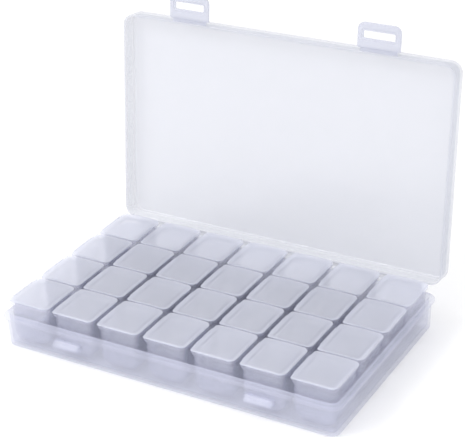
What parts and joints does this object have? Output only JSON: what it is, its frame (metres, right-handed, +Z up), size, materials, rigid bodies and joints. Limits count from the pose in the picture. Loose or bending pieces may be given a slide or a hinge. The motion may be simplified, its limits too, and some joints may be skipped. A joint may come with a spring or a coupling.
{
  "type": "lidded bead organizer",
  "caption": "Flat clear case with a hinged outer lid and two fold-over latches, holding lift-out strips of small cups, each cup closed by its own hinged snap lid.",
  "frame": {"origin": "centre of the tray's underside, on the surface it stands on", "axes": "+X along the width, to the right seen from the front; +Y to the back, where the main hinge is; +Z up"},
  "size_m": [0.1796, 0.1342, 0.1419],
  "materials": {
    "shell": "clear moulded polypropylene",
    "panel": "clear moulded polypropylene",
    "strip": "clear moulded polypropylene",
    "cap": "clear moulded polypropylene"
  },
  "bodies": {
    "tray": {"case_base": "shell", "hinge_leaf_base": "shell"},
    "lid": {"case_lid": "panel", "hinge_leaf_lid": "panel"},
    "left_latch": {"latch_left": "shell"},
    "right_latch": {"latch_right": "shell"},
    "strip_body_1": {"strip_1": "strip"},
    "cap_1_1": {"cup_lid_1_1": "cap"},
    "cap_1_2": {"cup_lid_1_2": "cap"},
    "cap_1_3": {"cup_lid_1_3": "cap"},
    "cap_1_4": {"cup_lid_1_4": "cap"},
    "strip_body_2": {"strip_2": "strip"},
    "cap_2_1": {"cup_lid_2_1": "cap"},
    "cap_2_2": {"cup_lid_2_2": "cap"},
    "cap_2_3": {"cup_lid_2_3": "cap"},
    "cap_2_4": {"cup_lid_2_4": "cap"},
    "strip_body_3": {"strip_3": "strip"},
    "cap_3_1": {"cup_lid_3_1": "cap"},
    "cap_3_2": {"cup_lid_3_2": "cap"},
    "cap_3_3": {"cup_lid_3_3": "cap"},
    "cap_3_4": {"cup_lid_3_4": "cap"},
    "strip_body_4": {"strip_4": "strip"},
    "cap_4_1": {"cup_lid_4_1": "cap"},
    "cap_4_2": {"cup_lid_4_2": "cap"},
    "cap_4_3": {"cup_lid_4_3": "cap"},
    "cap_4_4": {"cup_lid_4_4": "cap"},
    "strip_body_5": {"strip_5": "strip"},
    "cap_5_1": {"cup_lid_5_1": "cap"},
    "cap_5_2": {"cup_lid_5_2": "cap"},
    "cap_5_3": {"cup_lid_5_3": "cap"},
    "cap_5_4": {"cup_lid_5_4": "cap"},
    "strip_body_6": {"strip_6": "strip"},
    "cap_6_1": {"cup_lid_6_1": "cap"},
    "cap_6_2": {"cup_lid_6_2": "cap"},
    "cap_6_3": {"cup_lid_6_3": "cap"},
    "cap_6_4": {"cup_lid_6_4": "cap"},
    "strip_body_7": {"strip_7": "strip"},
    "cap_7_1": {"cup_lid_7_1": "cap"},
    "cap_7_2": {"cup_lid_7_2": "cap"},
    "cap_7_3": {"cup_lid_7_3": "cap"},
    "cap_7_4": {"cup_lid_7_4": "cap"}
  },
  "joints": [
    {"name": "lid_hinge", "type": "hinge", "parent": "tray", "child": "lid", "pos_m": [0, 0.0567, 0.0172], "axis": [-1, 0, 0], "range_deg": [-96, 84]},
    {"name": "left_latch_fold", "type": "hinge", "parent": "lid", "child": "left_latch", "pos_m": [-0.051, 0.06854, 0.12892], "axis": [1, 0, 0], "range_deg": [0, 90]},
    {"name": "right_latch_fold", "type": "hinge", "parent": "lid", "child": "right_latch", "pos_m": [0.051, 0.06854, 0.12892], "axis": [1, 0, 0], "range_deg": [0, 90]},
    {"name": "strip_1_lift", "type": "slide", "parent": "tray", "child": "strip_body_1", "axis": [0, 0, 1], "range_m": [0, 0.03]},
    {"name": "cap_1_1_hinge", "type": "hinge", "parent": "strip_body_1", "child": "cap_1_1", "pos_m": [-0.0868, -0.0384, 0.0231], "axis": [0, -1, 0], "range_deg": [0, 105]},
    {"name": "cap_1_2_hinge", "type": "hinge", "parent": "strip_body_1", "child": "cap_1_2", "pos_m": [-0.0868, -0.0128, 0.0231], "axis": [0, -1, 0], "range_deg": [0, 105]},
    {"name": "cap_1_3_hinge", "type": "hinge", "parent": "strip_body_1", "child": "cap_1_3", "pos_m": [-0.0868, 0.0128, 0.0231], "axis": [0, -1, 0], "range_deg": [0, 105]},
    {"name": "cap_1_4_hinge", "type": "hinge", "parent": "strip_body_1", "child": "cap_1_4", "pos_m": [-0.0868, 0.0384, 0.0231], "axis": [0, -1, 0], "range_deg": [0, 105]},
    {"name": "strip_2_lift", "type": "slide", "parent": "tray", "child": "strip_body_2", "axis": [0, 0, 1], "range_m": [0, 0.03]},
    {"name": "cap_2_1_hinge", "type": "hinge", "parent": "strip_body_2", "child": "cap_2_1", "pos_m": [-0.0617, -0.0384, 0.0231], "axis": [0, -1, 0], "range_deg": [0, 105]},
    {"name": "cap_2_2_hinge", "type": "hinge", "parent": "strip_body_2", "child": "cap_2_2", "pos_m": [-0.0617, -0.0128, 0.0231], "axis": [0, -1, 0], "range_deg": [0, 105]},
    {"name": "cap_2_3_hinge", "type": "hinge", "parent": "strip_body_2", "child": "cap_2_3", "pos_m": [-0.0617, 0.0128, 0.0231], "axis": [0, -1, 0], "range_deg": [0, 105]},
    {"name": "cap_2_4_hinge", "type": "hinge", "parent": "strip_body_2", "child": "cap_2_4", "pos_m": [-0.0617, 0.0384, 0.0231], "axis": [0, -1, 0], "range_deg": [0, 105]},
    {"name": "strip_3_lift", "type": "slide", "parent": "tray", "child": "strip_body_3", "axis": [0, 0, 1], "range_m": [0, 0.03]},
    {"name": "cap_3_1_hinge", "type": "hinge", "parent": "strip_body_3", "child": "cap_3_1", "pos_m": [-0.0366, -0.0384, 0.0231], "axis": [0, -1, 0], "range_deg": [0, 105]},
    {"name": "cap_3_2_hinge", "type": "hinge", "parent": "strip_body_3", "child": "cap_3_2", "pos_m": [-0.0366, -0.0128, 0.0231], "axis": [0, -1, 0], "range_deg": [0, 105]},
    {"name": "cap_3_3_hinge", "type": "hinge", "parent": "strip_body_3", "child": "cap_3_3", "pos_m": [-0.0366, 0.0128, 0.0231], "axis": [0, -1, 0], "range_deg": [0, 105]},
    {"name": "cap_3_4_hinge", "type": "hinge", "parent": "strip_body_3", "child": "cap_3_4", "pos_m": [-0.0366, 0.0384, 0.0231], "axis": [0, -1, 0], "range_deg": [0, 105]},
    {"name": "strip_4_lift", "type": "slide", "parent": "tray", "child": "strip_body_4", "axis": [0, 0, 1], "range_m": [0, 0.03]},
    {"name": "cap_4_1_hinge", "type": "hinge", "parent": "strip_body_4", "child": "cap_4_1", "pos_m": [-0.0115, -0.0384, 0.0231], "axis": [0, -1, 0], "range_deg": [0, 105]},
    {"name": "cap_4_2_hinge", "type": "hinge", "parent": "strip_body_4", "child": "cap_4_2", "pos_m": [-0.0115, -0.0128, 0.0231], "axis": [0, -1, 0], "range_deg": [0, 105]},
    {"name": "cap_4_3_hinge", "type": "hinge", "parent": "strip_body_4", "child": "cap_4_3", "pos_m": [-0.0115, 0.0128, 0.0231], "axis": [0, -1, 0], "range_deg": [0, 105]},
    {"name": "cap_4_4_hinge", "type": "hinge", "parent": "strip_body_4", "child": "cap_4_4", "pos_m": [-0.0115, 0.0384, 0.0231], "axis": [0, -1, 0], "range_deg": [0, 105]},
    {"name": "strip_5_lift", "type": "slide", "parent": "tray", "child": "strip_body_5", "axis": [0, 0, 1], "range_m": [0, 0.03]},
    {"name": "cap_5_1_hinge", "type": "hinge", "parent": "strip_body_5", "child": "cap_5_1", "pos_m": [0.0136, -0.0384, 0.0231], "axis": [0, -1, 0], "range_deg": [0, 105]},
    {"name": "cap_5_2_hinge", "type": "hinge", "parent": "strip_body_5", "child": "cap_5_2", "pos_m": [0.0136, -0.0128, 0.0231], "axis": [0, -1, 0], "range_deg": [0, 105]},
    {"name": "cap_5_3_hinge", "type": "hinge", "parent": "strip_body_5", "child": "cap_5_3", "pos_m": [0.0136, 0.0128, 0.0231], "axis": [0, -1, 0], "range_deg": [0, 105]},
    {"name": "cap_5_4_hinge", "type": "hinge", "parent": "strip_body_5", "child": "cap_5_4", "pos_m": [0.0136, 0.0384, 0.0231], "axis": [0, -1, 0], "range_deg": [0, 105]},
    {"name": "strip_6_lift", "type": "slide", "parent": "tray", "child": "strip_body_6", "axis": [0, 0, 1], "range_m": [0, 0.03]},
    {"name": "cap_6_1_hinge", "type": "hinge", "parent": "strip_body_6", "child": "cap_6_1", "pos_m": [0.0387, -0.0384, 0.0231], "axis": [0, -1, 0], "range_deg": [0, 105]},
    {"name": "cap_6_2_hinge", "type": "hinge", "parent": "strip_body_6", "child": "cap_6_2", "pos_m": [0.0387, -0.0128, 0.0231], "axis": [0, -1, 0], "range_deg": [0, 105]},
    {"name": "cap_6_3_hinge", "type": "hinge", "parent": "strip_body_6", "child": "cap_6_3", "pos_m": [0.0387, 0.0128, 0.0231], "axis": [0, -1, 0], "range_deg": [0, 105]},
    {"name": "cap_6_4_hinge", "type": "hinge", "parent": "strip_body_6", "child": "cap_6_4", "pos_m": [0.0387, 0.0384, 0.0231], "axis": [0, -1, 0], "range_deg": [0, 105]},
    {"name": "strip_7_lift", "type": "slide", "parent": "tray", "child": "strip_body_7", "axis": [0, 0, 1], "range_m": [0, 0.03]},
    {"name": "cap_7_1_hinge", "type": "hinge", "parent": "strip_body_7", "child": "cap_7_1", "pos_m": [0.0638, -0.0384, 0.0231], "axis": [0, -1, 0], "range_deg": [0, 105]},
    {"name": "cap_7_2_hinge", "type": "hinge", "parent": "strip_body_7", "child": "cap_7_2", "pos_m": [0.0638, -0.0128, 0.0231], "axis": [0, -1, 0], "range_deg": [0, 105]},
    {"name": "cap_7_3_hinge", "type": "hinge", "parent": "strip_body_7", "child": "cap_7_3", "pos_m": [0.0638, 0.0128, 0.0231], "axis": [0, -1, 0], "range_deg": [0, 105]},
    {"name": "cap_7_4_hinge", "type": "hinge", "parent": "strip_body_7", "child": "cap_7_4", "pos_m": [0.0638, 0.0384, 0.0231], "axis": [0, -1, 0], "range_deg": [0, 105]}
  ]
}
